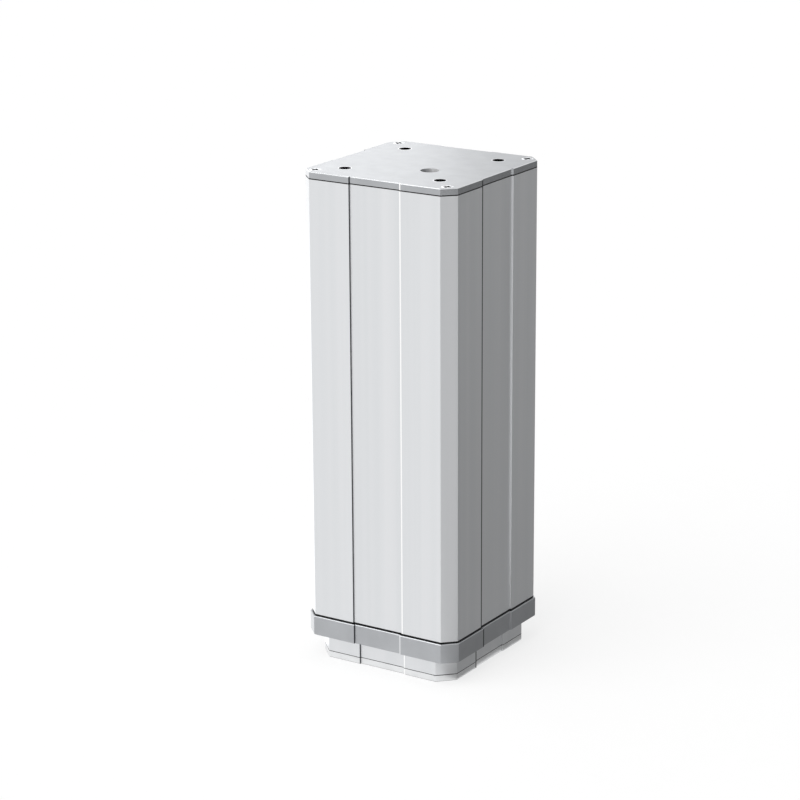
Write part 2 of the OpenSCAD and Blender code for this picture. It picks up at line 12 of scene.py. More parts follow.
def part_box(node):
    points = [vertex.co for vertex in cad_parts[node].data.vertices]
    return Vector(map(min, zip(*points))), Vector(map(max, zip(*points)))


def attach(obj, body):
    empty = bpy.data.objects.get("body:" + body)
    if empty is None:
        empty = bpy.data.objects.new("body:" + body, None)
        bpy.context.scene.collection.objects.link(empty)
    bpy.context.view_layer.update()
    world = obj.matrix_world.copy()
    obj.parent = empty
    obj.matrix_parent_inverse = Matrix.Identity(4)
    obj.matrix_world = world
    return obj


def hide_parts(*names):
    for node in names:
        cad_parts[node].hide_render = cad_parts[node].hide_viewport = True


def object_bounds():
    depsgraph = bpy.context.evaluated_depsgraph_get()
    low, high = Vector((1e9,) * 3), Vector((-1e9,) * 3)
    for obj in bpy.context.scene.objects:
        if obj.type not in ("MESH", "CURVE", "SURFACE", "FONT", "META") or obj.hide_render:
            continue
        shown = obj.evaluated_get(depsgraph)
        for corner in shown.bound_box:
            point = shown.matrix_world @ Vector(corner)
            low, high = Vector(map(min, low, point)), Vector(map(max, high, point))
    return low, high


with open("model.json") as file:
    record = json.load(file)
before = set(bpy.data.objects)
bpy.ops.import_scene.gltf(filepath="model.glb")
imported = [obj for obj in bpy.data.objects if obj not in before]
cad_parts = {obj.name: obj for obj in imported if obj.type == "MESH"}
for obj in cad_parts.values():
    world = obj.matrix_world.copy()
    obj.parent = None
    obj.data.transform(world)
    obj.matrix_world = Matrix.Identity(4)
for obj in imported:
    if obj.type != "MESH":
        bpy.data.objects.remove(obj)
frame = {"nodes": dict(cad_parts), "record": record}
nodes = frame["nodes"]
cad_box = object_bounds()
mounts = {mount["name"]: mount for mount in frame["record"]["mounts"]}

MM = 0.001
FULL_TURN = 2 * math.pi


# ---------- Colour and nodes ----------

MOST_NOISE = (0.3, 0.7)     # the range that most of a noise's values lie in


def linear(hex_colour):
    """An sRGB hex colour such as "#C8CACC" as linear red, green, blue and alpha."""
    parts = [int(hex_colour[i:i + 2], 16) / 255 for i in (1, 3, 5)]
    return (*[c / 12.92 if c <= 0.04045 else ((c + 0.055) / 1.055) ** 2.4 for c in parts], 1.0)


def add_node(tree, kind, settings=None, links=None):
    """Adds a shader node. settings are its attributes, links its inputs by name or number.

    A link holds a node, whose first output in use feeds the input, or a socket, or a constant.
    """
    node = tree.nodes.new("ShaderNode" + kind)
    for name, value in (settings or {}).items():
        setattr(node, name, value)
    for name, value in (links or {}).items():
        if isinstance(value, bpy.types.Node):
            value = next(output for output in value.outputs if output.enabled)
        if isinstance(value, bpy.types.NodeSocket):
            tree.links.new(value, node.inputs[name])
        else:
            node.inputs[name].default_value = value
    return node


def new_material(name):
    """An empty node material and its tree."""
    material = bpy.data.materials.new(name)
    material.use_nodes = True
    material.node_tree.nodes.clear()
    return material, material.node_tree


def end_surface(tree, looks):
    """Ends a tree in a Principled surface whose inputs are given by name."""
    shader = add_node(tree, "BsdfPrincipled", links=looks)
    add_node(tree, "OutputMaterial", links={"Surface": shader})


def grains(tree, size, stretch=(1, 1, 1), detail=2.0):
    """Noise from 0 to 1 with grains size metres wide, drawn out where stretch is under 1."""
    place = add_node(tree, "TexCoord").outputs["Object"]
    stretched = add_node(tree, "Mapping", links={"Vector": place, "Scale": stretch})
    return add_node(tree, "TexNoise", links={
        "Vector": stretched, "Scale": 1 / size, "Detail": detail})


def skin(tree, dark, light, roughness, clouds, fine, relief):
    """Looks of a worked skin: its colour drifts with clouds, its sheen and relief follow fine.

    clouds and fine are noise nodes, roughness is (low, high) and relief is in metres.
    """
    return {
        "Base Color": add_node(tree, "Mix", {"data_type": "RGBA"}, {
            "Factor": clouds, "A": linear(dark), "B": linear(light)}),
        "Roughness": add_node(tree, "MapRange", links={
            "Value": fine, "From Min": MOST_NOISE[0], "From Max": MOST_NOISE[1],
            "To Min": roughness[0], "To Max": roughness[1]}),
        "Normal": add_node(tree, "Bump", links={
            "Height": fine, "Distance": relief, "Strength": 1.0}),
    }


# ---------- Painted shade and highlights on the aluminium ---

SEAM = 1.5 * MM             # how far the shade in seams and corners reaches
SEAM_OPENNESS = (0.2, 0.85)     # how open a place is where the shade is full and where it ends
SEAM_SHADE = 0.4            # share of its light that the darkest seam keeps
GROOVE_DEPTH = 1.2 * MM     # of the groove in each side
LINE_DEPTH = 1.3 * MM       # how deep the lines beside a groove reach, down to its floor
LINE_OVERLAP = 0.1 * MM     # how far they reach into the groove, so that its walls have them too
# Widths and colours of the painted shade line left of a groove and of the painted highlight line
# right of it, first at the sides at Y and then at X. Each section gives its own highlight colour at
# Y.
PAINTED_SHADE_LINE = (0.2 * MM, 1.5 * MM)
PAINTED_SHADE_GREYS = ("#55575A", "#2D2E30")
PAINTED_HIGHLIGHT_LINE = (1.3 * MM, 0.12 * MM)
PAINTED_HIGHLIGHT_AT_X = "#E8E9EA"
HOLE_SHADE_REACH = 1.0 * MM           # how far the painted shade over a tapped hole reaches past its core, out onto the face
HIGHLIGHT_RING_WIDTH = 0.6 * MM       # width of the painted highlight ring around that
# Near black of the painted shade over holes, and the white of painted highlights.
HOLE_SHADE_BLACK = "#030303"
HIGHLIGHT_WHITE = "#F2F3F5"
BORE_PLAY = 0.03 * MM       # how far past its radius a bored wall still counts as wall
BORE_METALLIC = 0.15        # low, so that a bored wall shows its painted light and shade more than a mirrored one

# Half the width of each cross-section, half the width of the grooves in its sides, and the colour
# of its painted highlight line at Y.
OUTER_SECTION = (75 * MM, 24.9 * MM, "#FDFDFD")
INNER_SECTION = (68.5 * MM, 22.8 * MM, "#FDFDFD")
COLLAR_SECTION = (76.5 * MM, 23.4 * MM, "#DADBDD")
# Legs of the 45 degree chamfers on the profiles' corners.
OUTER_CHAMFER = 10.5 * MM
INNER_CHAMFER = 13.6 * MM


def shaded_seams(tree, colour):
    """The colour, darkened where surfaces meet in a seam or a corner."""
    open_sky = add_node(tree, "AmbientOcclusion", {"samples": 8}, {"Distance": SEAM})
    shade = add_node(tree, "MapRange", links={
        "Value": open_sky.outputs["AO"], "From Min": SEAM_OPENNESS[0],
        "From Max": SEAM_OPENNESS[1], "To Min": SEAM_SHADE, "To Max": 1.0})
    grey = add_node(tree, "CombineColor", links={0: shade, 1: shade, 2: shade})
    return add_node(tree, "Mix", {"data_type": "RGBA", "blend_type": "MULTIPLY"}, {
        "Factor": 1.0, "A": colour, "B": grey})


def groove_lines(tree, colour, section):
    """The colour, with a line of painted shade left of each side's groove and a line of painted
    highlight right of it.
    """
    half_width, half_groove, highlight_colour = section
    place = add_node(tree, "TexCoord").outputs["Object"]
    out = add_node(tree, "VectorMath", {"operation": "ABSOLUTE"}, {0: place})
    out = add_node(tree, "SeparateXYZ", links={0: out}).outputs
    at_x = add_node(tree, "Math", {"operation": "GREATER_THAN"}, {0: out["X"], 1: out["Y"]})
    furthest = add_node(tree, "Math", {"operation": "MAXIMUM"}, {0: out["X"], 1: out["Y"]})
    outside = add_node(tree, "Math", {"operation": "GREATER_THAN"}, {
        0: furthest, 1: half_width - LINE_DEPTH})

    # How far to the right of a side's middle a place is, as seen from outside. The X of this
    # vector holds it for the sides at X, and its Y for the sides at Y.
    quarter_turn = add_node(tree, "VectorMath", {"operation": "CROSS_PRODUCT"}, {
        0: place, 1: (0, 0, 1)})
    signs = add_node(tree, "VectorMath", {"operation": "SIGN"}, {0: place})
    right = add_node(tree, "VectorMath", {"operation": "MULTIPLY"}, {0: quarter_turn, 1: signs})
    right = add_node(tree, "SeparateXYZ", links={0: right}).outputs
    along = add_node(tree, "Mix", {"data_type": "FLOAT"}, {
        "Factor": at_x, "A": right["Y"], "B": right["X"]})

    start = half_groove - LINE_OVERLAP
    # First a line of painted shade left of the groove, then a line of painted highlight right of
    # it.
    for way, widths, shades in ((-1, PAINTED_SHADE_LINE, PAINTED_SHADE_GREYS),
                                (1, PAINTED_HIGHLIGHT_LINE, (highlight_colour, PAINTED_HIGHLIGHT_AT_X))):
        off = add_node(tree, "Math", {"operation": "MULTIPLY"}, {0: along, 1: way})
        end = add_node(tree, "Mix", {"data_type": "FLOAT"}, {
            "Factor": at_x, "A": start + widths[0], "B": start + widths[1]})
        past_start = add_node(tree, "Math", {"operation": "GREATER_THAN"}, {0: off, 1: start})
        before_end = add_node(tree, "Math", {"operation": "LESS_THAN"}, {0: off, 1: end})
        line = add_node(tree, "Math", {"operation": "MULTIPLY"}, {0: past_start, 1: before_end})
        line = add_node(tree, "Math", {"operation": "MULTIPLY"}, {0: line, 1: outside})
        shade = add_node(tree, "Mix", {"data_type": "RGBA"}, {
            "Factor": at_x, "A": linear(shades[0]), "B": linear(shades[1])})
        colour = add_node(tree, "Mix", {"data_type": "RGBA"}, {
            "Factor": line, "A": colour, "B": shade})
    return colour


def near_axes(tree, x, y, radius, mirrored):
    """1 within radius of the upright axis at x and y, or of all four at +-x and +-y, else 0."""
    place = add_node(tree, "TexCoord").outputs["Object"]
    if mirrored:
        place = add_node(tree, "VectorMath", {"operation": "ABSOLUTE"}, {0: place})
    flat = add_node(tree, "VectorMath", {"operation": "MULTIPLY"}, {0: place, 1: (1, 1, 0)})
    away = add_node(tree, "VectorMath", {"operation": "DISTANCE"}, {0: flat, 1: (x, y, 0)})
    return add_node(tree, "Math", {"operation": "LESS_THAN"}, {0: away, 1: radius})


def tapped_holes(tree, looks, mount):
    """Paints shade over a mount's four holes and a highlight ring round each into the looks."""
    dims = mount["dims"]
    x, y = dims["spacing_x_mm"] / 2 * MM, dims["spacing_y_mm"] / 2 * MM
    hole_r = dims["hole_r_mm"] * MM
    highlight_ring = near_axes(tree, x, y, hole_r + HOLE_SHADE_REACH + HIGHLIGHT_RING_WIDTH, True)
    # thread here is the disc of painted shade over each hole.
    thread = near_axes(tree, x, y, hole_r + HOLE_SHADE_REACH, True)
    for part, shade in ((highlight_ring, HIGHLIGHT_WHITE), (thread, HOLE_SHADE_BLACK)):
        looks["Base Color"] = add_node(tree, "Mix", {"data_type": "RGBA"}, {
            "Factor": part, "A": looks["Base Color"], "B": linear(shade)})
    looks["Metallic"] = add_node(tree, "Math", {"operation": "SUBTRACT"}, {0: 1.0, 1: thread})
    looks["Specular IOR Level"] = add_node(tree, "MapRange", links={
        "Value": thread, "To Min": 0.5, "To Max": 0.0})


def bored_hole(tree, looks, mount):
    """Adds the smooth bored wall of a mount's hole, with painted light and shade, to the looks."""
    x, y, radius = mount["pos_m"][0], mount["pos_m"][1], mount["dims"]["r_mm"] * MM
    wall = near_axes(tree, x, y, radius + BORE_PLAY, False)
    place = add_node(tree, "TexCoord").outputs["Object"]
    across = add_node(tree, "SeparateXYZ", links={0: place}).outputs["X"]
    # Painted light and shade: the wall goes from dark at its left to pale at its right.
    right = add_node(tree, "MapRange", links={
        "Value": across, "From Min": x - radius, "From Max": x - radius / 4})
    bored = add_node(tree, "Mix", {"data_type": "RGBA"}, {
        "Factor": right, "A": linear("#9A9C9F"), "B": linear("#FAFAFB")})
    looks["Base Color"] = add_node(tree, "Mix", {"data_type": "RGBA"}, {
        "Factor": wall, "A": looks["Base Color"], "B": bored})
    dulled = add_node(tree, "MapRange", links={
        "Value": wall, "To Min": 1.0, "To Max": BORE_METALLIC})
    looks["Metallic"] = add_node(tree, "Math", {"operation": "MULTIPLY"}, {
        0: looks["Metallic"], 1: dulled})


# ---------- Materials ----------

# Patterns, from their real sizes. What is too fine to show is drawn coarser, as told beside it.
ALONG_Z = (1, 1, 0.004)     # an extrusion's marks run its whole length
BANDS = 10 * MM             # width of the soft bands that the die leaves
DIE_LINES = 0.35 * MM       # real die lines are about 0.05 mm apart, and are drawn 7 times as wide
ROLLING = 0.5 * MM          # a rolling grain is about 0.05 mm wide, and is drawn 10 times as wide
TOOL_RINGS = 0.4 * MM       # a turning tool's feed is about 0.1 mm, and is drawn 4 times as wide
HIGHLIGHT_GRAIN = 0.4 * MM         # grain of the painted highlight on rounded edges, drawn 4 times as wide as a 0.1 mm mark
SPARK_GRAIN = 0.25 * MM     # grain of a spark-eroded mould, at its real size
RUBBER_GRAIN = 0.4 * MM     # grain of the coarser mould of a rubber part
PAINT_GRAIN = 0.3 * MM      # ripples of a dipped and baked film
CAST_GRAIN = 1.2 * MM       # ripples where the melt ran along the die
PLATE_CLOUDS = 14 * MM      # patches in which a plate's anodising varies
MOULDED_CLOUDS = 8 * MM     # patches in which a plastic's colour varies
TURNED_CLOUDS = 6 * MM      # patches in which a turned metal's colour varies

FACE_ROUGHNESS = (0.37, 0.47)       # of a plate's faces
FACE_RELIEF = 0.005 * MM
SIDE_RELIEF = 0.0005 * MM
LEVEL = 0.9                 # part of the normal along Z from which a plate's surface is a face
BROKEN = (math.sqrt(0.5), 0.2)      # upward part of the normal on a 45 degree edge, and its play
SPREAD = 0.05               # how far the roughness of a milled side varies
GRAIN_SPREAD = 0.06         # how far the roughness of moulded and turned pieces varies


def anodised_extrusion(name, section):
    """Extruded aluminium, anodised: a satin silver with soft lengthwise bands and die lines."""
    material, tree = new_material(name)
    bands, lines = (grains(tree, width, ALONG_Z) for width in (BANDS, DIE_LINES))
    both = add_node(tree, "Math", {"operation": "MULTIPLY_ADD"}, {0: lines, 1: 0.35, 2: bands})
    drift = add_node(tree, "MapRange", links={"Value": both, "From Min": 0.45, "From Max": 0.9})
    looks = skin(tree, "#DADCDE", "#E0E1E3", (0.38, 0.46), drift, lines, 0.004 * MM)
    looks["Base Color"] = groove_lines(tree, shaded_seams(tree, looks["Base Color"]), section)
    end_surface(tree, {**looks, "Metallic": 1.0})
    return material


def anodised_plate(name, dark, light, edge_highlight, sides, section, marks=(), along=(0.02, 1, 1)):
    """Milled aluminium plate, anodised: satin faces with a faint rolling grain and painted edge
    highlights.

    edge_highlight is the colour painted as a highlight on its broken upper edges, sides the
    roughness of its milled sides, and along the stretch of its grain. marks pairs a function that
    paints the light and shade of holes with their mount.
    """
    material, tree = new_material(name)
    normal = add_node(tree, "TexCoord").outputs["Normal"]
    up = add_node(tree, "SeparateXYZ", links={0: normal}).outputs["Z"]
    level = add_node(tree, "Math", {"operation": "ABSOLUTE"}, {0: up})
    face = add_node(tree, "Math", {"operation": "GREATER_THAN"}, {0: level, 1: LEVEL})
    low, high, relief = (
        add_node(tree, "Mix", {"data_type": "FLOAT"}, {"Factor": face, "A": side, "B": top})
        for side, top in ((sides - SPREAD, FACE_ROUGHNESS[0]), (sides + SPREAD, FACE_ROUGHNESS[1]),
                          (SIDE_RELIEF, FACE_RELIEF)))

    clouds, fine = grains(tree, PLATE_CLOUDS), grains(tree, ROLLING, along, 3.0)
    both = add_node(tree, "Math", {"operation": "MULTIPLY_ADD"}, {0: fine, 1: 0.5, 2: clouds})
    drift = add_node(tree, "MapRange", links={"Value": both, "From Min": 0.5, "From Max": 1.0})
    looks = skin(tree, dark, light, (low, high), drift, fine, relief)
    lined = groove_lines(tree, shaded_seams(tree, looks["Base Color"]), section)
    # Painted highlight: the broken edges that face up take the highlight colour given for them.
    broken = add_node(tree, "Math", {"operation": "COMPARE"}, {0: up, 1: BROKEN[0], 2: BROKEN[1]})
    looks["Base Color"] = add_node(tree, "Mix", {"data_type": "RGBA"}, {
        "Factor": broken, "A": lined, "B": linear(edge_highlight)})
    looks["Metallic"] = 1.0
    for mark, mount in marks:
        mark(tree, looks, mount)
    end_surface(tree, looks)
    return material


def highlighted_edge(name, section):
    """The rounded edge of an anodised part, with a bright highlight painted on it and a soft gleam.
    """
    material, tree = new_material(name)
    fine = grains(tree, HIGHLIGHT_GRAIN)
    looks = skin(tree, HIGHLIGHT_WHITE, "#FBFBFC", (0.25, 0.35), fine, fine, 0.001 * MM)
    looks["Base Color"] = groove_lines(tree, looks["Base Color"], section)
    end_surface(tree, {**looks, "Metallic": 1.0})
    return material


def moulded(name, dark, light, roughness, ior, grain=SPARK_GRAIN, relief=0.01 * MM, gleam=0.5):
    """Moulded plastic or rubber: even colour under the fine matt grain of its mould."""
    material, tree = new_material(name)
    rough = (roughness - GRAIN_SPREAD, roughness + GRAIN_SPREAD)
    clouds, fine = grains(tree, MOULDED_CLOUDS), grains(tree, grain)
    looks = skin(tree, dark, light, rough, clouds, fine, relief)
    end_surface(tree, {**looks, "IOR": ior, "Specular IOR Level": gleam})
    return material


def turned(name, dark, light, roughness):
    """Turned metal: bright, with fine tool rings across its length that stretch the gleam."""
    material, tree = new_material(name)
    rough = (roughness - GRAIN_SPREAD, roughness + GRAIN_SPREAD)
    rings = grains(tree, TOOL_RINGS, (0.05, 0.05, 1))
    looks = skin(tree, dark, light, rough, grains(tree, TURNED_CLOUDS), rings, 0.006 * MM)
    end_surface(tree, {**looks, "Metallic": 1.0})
    return material


def die_cast(name, dark, light):
    """Die-cast aluminium: a dull grey skin, slightly rough where the melt set against the die."""
    material, tree = new_material(name)
    ripples = grains(tree, CAST_GRAIN, detail=4.0)
    looks = skin(tree, dark, light, (0.45, 0.6), ripples, ripples, 0.05 * MM)
    end_surface(tree, {**looks, "Metallic": 1.0})
    return material


HOLES = (tapped_holes, mounts["top_bolts"])
CABLE_HOLE = (bored_hole, mounts["cable_outlet"])

# Natural anodised aluminium: the profiles' satin silver.
OUTER_PROFILE = anodised_extrusion("natural_anodised_outer_extrusion", OUTER_SECTION)
INNER_PROFILE = anodised_extrusion("natural_anodised_inner_extrusion", INNER_SECTION)
# Grey anodised aluminium: clearly darker than the profiles, with smoother, more mirror-like sides.
PLATE = anodised_plate("grey_anodised_plate", "#ACAEB1", "#B4B6B9", "#D8DADC", 0.22,
                       OUTER_SECTION, (HOLES, CABLE_HOLE))
COLLAR = anodised_plate("grey_anodised_collar", "#ABADB0", "#B2B4B7", "#BBBDC0", 0.36,
                        COLLAR_SECTION, along=(1, 1, 0.02))
# Bright natural anodised aluminium: almost white, so that the base plate looks light.
BASE_PLATE = anodised_plate("natural_anodised_base_plate", "#E2E3E4", "#ECEDEE", "#E8E9EA", 0.42,
                            INNER_SECTION, (HOLES,))
# Anodised aluminium again, with a thin bright rim painted on its rounded edges as a highlight.
OUTER_EDGE = highlighted_edge("painted_highlight_outer_edge", OUTER_SECTION)
INNER_EDGE = highlighted_edge("painted_highlight_inner_edge", INNER_SECTION)
COLLAR_EDGE = highlighted_edge("painted_highlight_collar_edge", COLLAR_SECTION)
# Acetal: slippery and dense, with a dull wax-like gleam. Its dark grade hardly shines.
ACETAL_BLACK = moulded("black_acetal", "#0A0A0B", "#101011", 0.42, 1.48, gleam=0.2)
ACETAL_WHITE = moulded("natural_acetal", "#E4E2DA", "#EDEBE4", 0.4, 1.48)
# Nitrile rubber: charcoal, quite matt.
RUBBER = moulded("black_nitrile_rubber", "#161616", "#1E1E1E", 0.75, 1.52, RUBBER_GRAIN,
                 0.02 * MM, 0.2)
# Polyurethane: the tough red plastic of coupling stars, with a mild gleam.
SPIDER = moulded("red_polyurethane", "#A52018", "#B5281E", 0.45, 1.5)
# Electrocoat: a thin black paint film on the drawn can, half glossy.
MOTOR = moulded("black_electrocoat", "#1A1A1C", "#222225", 0.35, 1.5, PAINT_GRAIN)
# Zinc-plated steel: bright and slightly bluish. The recesses in its heads are lost in shade.
ZINC = turned("bright_zinc_plated_steel", "#D6D8DB", "#E4E6E9", 0.28)
RECESS = moulded("shaded_screw_recess", "#050506", "#0A0A0B", 0.9, 1.5, gleam=0.0)
# Turned steel and bronze: plain metal colour under the tool's rings.
STEEL = turned("turned_steel", "#A3A5A8", "#B2B4B7", 0.3)
BRONZE = turned("turned_tin_bronze", "#B48A4A", "#C39A58", 0.32)
# Die-cast aluminium: unpainted, greyer and duller than the anodised pieces.
CAST = die_cast("die_cast_aluminium", "#9EA0A3", "#B0B2B5")

FINISHES = {
    OUTER_PROFILE: ["outer_profile"],
    INNER_PROFILE: ["inner_profile"],
    PLATE: ["top_plate"],
    BASE_PLATE: ["base_plate"],
    COLLAR: ["collar"],
    ACETAL_BLACK: ["lower_guide", "motor_end_cap"],
    ACETAL_WHITE: ["upper_glide_pads", "motor_connector"],
    RUBBER: ["end_stop_buffers", "wiper_seal"],
    SPIDER: ["coupling_spider"],
    ZINC: ["spindle_stop"],
    STEEL: ["tube_foot", "push_tube", "pillars", "bearing_outer_rings", "bearing_inner_rings",
            "bearing_retainer", "spindle_lock_nut", "output_shaft"],
    BRONZE: ["spindle_nut", "safety_nut"],
    CAST: ["bearing_block", "gearbox_housing", "coupling_lower_hub", "coupling_upper_hub"],
    MOTOR: ["motor_can"],
}

# Radius of the rounding on a node's sharp edges, and the finish of the rounding where it differs,
# which is a painted highlight.
ROUNDED = {
    "outer_profile": (0.7 * MM, OUTER_EDGE),
    "inner_profile": (0.5 * MM, INNER_EDGE),
    "top_plate": (0.15 * MM, OUTER_EDGE),
    "base_plate": (0.15 * MM, INNER_EDGE),
    "collar": (0.15 * MM, COLLAR_EDGE),
}
SMALL_ROUNDING = 0.2 * MM
FLAT_ANGLE = math.radians(1)        # faces that meet at less are one flat face
SHARP_ANGLE = math.radians(35)      # edges sharper than this are rounded


def round_edges(node, radius, finish):
    """Rounds the sharp edges of a node of the model, with a finish of its own if given."""
    flat = node.modifiers.new("merge_flat_faces", "DECIMATE")
    flat.decimate_type = "DISSOLVE"
    flat.angle_limit = FLAT_ANGLE
    bevel = node.modifiers.new("rounded_edges", "BEVEL")
    bevel.width = radius
    bevel.segments = 2
    bevel.limit_method = "ANGLE"
    bevel.angle_limit = SHARP_ANGLE
    if finish:
        node.data.materials.append(finish)
        bevel.material = len(node.data.materials) - 1
    even = node.modifiers.new("even_sheen", "WEIGHTED_NORMAL")
    even.mode = "FACE_AREA"
    even.weight = 50
    even.keep_sharp = False


for material, names in FINISHES.items():
    for name in names:
        nodes[name].data.materials.clear()
        nodes[name].data.materials.append(material)
        round_edges(nodes[name], *ROUNDED.get(name, (SMALL_ROUNDING, None)))


# ---------- Screws and spindle ----------

# Verts round a head or a plain part of the spindle. A hexagon's corners and a cross's inner ones
# fall on them.
RING_COUNT = 48
SCREW_COUNT = 16            # verts round a screw's thread
SPINDLE_COUNT = 40          # verts round the spindle's thread
# Where the root of a thread begins and ends, and then its crest, in pitches.
ROOT_TO_CREST = (0.0, 0.3, 0.5, 0.8)
SCREW_ROOT = 0.84           # radius of a screw thread's root, as a share of its crest's
WELD = 0.001 * MM           # verts closer than this are one
SHADED_SHARP = math.radians(40)     # edges sharper than this stay sharp in the shading


def islands(node):
    """Low and high corner of each separate solid of a node."""
    work = bmesh.new()
    work.from_mesh(node.data)
    bmesh.ops.remove_doubles(work, verts=work.verts, dist=WELD)
    seen, found = set(), []
    for start in work.verts:
        if start in seen:
            continue
        seen.add(start)
        group, queue = [], [start]
        while queue:
            vert = queue.pop()
            group.append(vert.co.copy())
            for edge in vert.link_edges:
                other = edge.other_vert(vert)
                if other not in seen:
                    seen.add(other)
                    queue.append(other)
        found.append([Vector(pick(v[i] for v in group) for i in range(3)) for pick in (min, max)])
    work.free()
    return found


def add_ring(work, to_world, reach, z, count):
    """A closed ring of verts at height z, at the distance reach(angle) from the axis."""
    angles = [FULL_TURN * i / count for i in range(count)]
    return [work.verts.new(to_world @ Vector((reach(a) * math.cos(a), reach(a) * math.sin(a), z)))
            for a in angles]


def bridge(work, first, second, material=0):
    """Quads between two closed rings of equal count."""
    for i in range(len(first)):
        j = (i + 1) % len(first)
        work.faces.new((first[i], first[j], second[j], second[i])).material_index = material


def round_reach(radius):
    """The reach of a circle."""
    return lambda angle: radius


def knurled_reach(radius, depth):
    """The reach of a circle with a knurl cut to the given depth."""
    return lambda angle: radius - depth * (0.5 - 0.5 * math.cos(RING_COUNT / 2 * angle))


def hexagon_reach(across):
    """The reach of a hexagon of the given width across its flats."""
    sixth = FULL_TURN / 6
    return lambda angle: across / 2 / math.cos((angle + sixth / 2) % sixth - sixth / 2)


def cross_reach(arm):
    """A cross recess whose arms are arm long and, at their ends, 36 degrees wide."""
    half = arm * math.tan(FULL_TURN / 20)

    def reach(angle):
        c, t = abs(math.cos(angle)) + 1e-9, abs(math.sin(angle)) + 1e-9
        return max(min(arm / c, half / t), min(arm / t, half / c))
    return reach


def countersunk_head(head, thread):
    """Rings of a countersunk head from the bottom of its recess out and down to the neck.

    Each is a reach, a height and the number of the finish from there to the next ring. The bare
    numbers are shares of the head's radius.
    """
    return [
        (cross_reach(head * 0.2), -head * 0.44, 1), (cross_reach(head * 0.5), -head * 0.34, 1),
        (cross_reach(head * 0.72), -head * 0.01, 1), (cross_reach(head * 0.74), 0.0, 0),
        (round_reach(head * 0.94), 0.0, 0), (round_reach(head), -head * 0.04, 0),
        (round_reach(head), -head * 0.07, 0), (round_reach(thread), thread - head, 0),
    ]


def cap_head(head, height, drive, thread):
    """Rings of a hexagon-socket head from the bottom of its socket out and down to the neck.

    drive is the hexagon's width. soft is the size of the roundings and of the knurl.
    """
    soft = head * 0.06
    return [
        (hexagon_reach(drive * 0.98), -height / 2, 1), (hexagon_reach(drive), -soft, 1),
        (round_reach(drive * 0.62), 0.0, 0), (round_reach(head - 2 * soft), 0.0, 0),
        (round_reach(head - soft), -soft * 0.4, 0), (knurled_reach(head, soft), -2 * soft, 0),
        (knurled_reach(head, soft), soft - height, 0), (round_reach(head - soft), -height, 0),
        (round_reach(thread), -height, 0),
    ]


def add_thread(work, to_world, root, crest, pitch, starts, top, bottom, count):
    """A closed right-hand thread between the heights top and bottom.

    Each row of the grid winds once round the axis and climbs by the lead, which is the pitch
    times the number of starts. So the rows are joined with a shift where a turn closes.
    """
    turn_rows = len(ROOT_TO_CREST) * starts
    rows = len(ROOT_TO_CREST) * (math.ceil((top - bottom) / pitch) + 1) + turn_rows
    grid = []
    for row in range(rows + 1):
        whole, part = divmod(row, len(ROOT_TO_CREST))
        ring = []
        for i in range(count):
            lead = (i / count - 1) * pitch * starts
            z = bottom + pitch * (whole + ROOT_TO_CREST[part]) + lead
            radius = crest if part > 1 and bottom < z < top else root
            angle = FULL_TURN * i / count
            ring.append(work.verts.new(to_world @ Vector((
                radius * math.cos(angle), radius * math.sin(angle), max(bottom, min(top, z))))))
        grid.append(ring)
    work.faces.new(grid[0])
    work.faces.new(grid[-1])
    for row in range(rows):
        for i in range(count):
            j, shift = (i + 1, 0) if i + 1 < count else (0, turn_rows)
            if row + shift < rows:
                work.faces.new((grid[row][i], grid[row + shift][j], grid[row + shift + 1][j],
                                grid[row + 1][i]))


def add_piece(name, work, materials, slot, body, *stood_in):
    """Turns a bmesh into a piece that rides a body and takes the place of nodes."""
    bmesh.ops.remove_doubles(work, verts=work.verts, dist=WELD / 2)
    bmesh.ops.recalc_face_normals(work, faces=work.faces)
    for face in work.faces:
        face.smooth = True
    mesh = bpy.data.meshes.new(name)
    work.to_mesh(mesh)
    work.free()
    mesh.set_sharp_from_angle(angle=SHADED_SHARP)
    for material in materials:
        mesh.materials.append(material)
    piece = bpy.data.objects.new(name, mesh)
    bpy.context.scene.collection.objects.link(piece)
    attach(piece, body)
    if stood_in:
        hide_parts(*stood_in)


def add_screws(node_name, body, head_up, thread, pitch, height=None, drive=None):
    """Threaded screws in place of a node's plain ones, countersunk unless height is given.

    thread is the crest's radius, height the head's and drive the width of its hexagon.
    """
    work = bmesh.new()
    for low, high in islands(nodes[node_name]):
        head, length = (high.x - low.x) / 2, high.z - low.z
        x, y = (low.x + high.x) / 2, (low.y + high.y) / 2
        to_world = Matrix.Translation((x, y, high.z if head_up else low.z))
        if not head_up:
            to_world = to_world @ Matrix.Rotation(math.pi, 4, "X")
        rings = cap_head(head, height, drive, thread) if height else countersunk_head(head, thread)
        made = [add_ring(work, to_world, reach, z, RING_COUNT) for reach, z, _ in rings]
        work.faces.new(made[0]).material_index = 1
        work.faces.new(made[-1])
        for first, second, (_, _, material) in zip(made, made[1:], rings):
            bridge(work, first, second, material)
        add_thread(work, to_world, thread * SCREW_ROOT, thread, pitch, 1, rings[-1][1], -length,
                   SCREW_COUNT)
    add_piece(node_name + "_threaded", work, [ZINC, RECESS], "screw_steel", body, node_name)


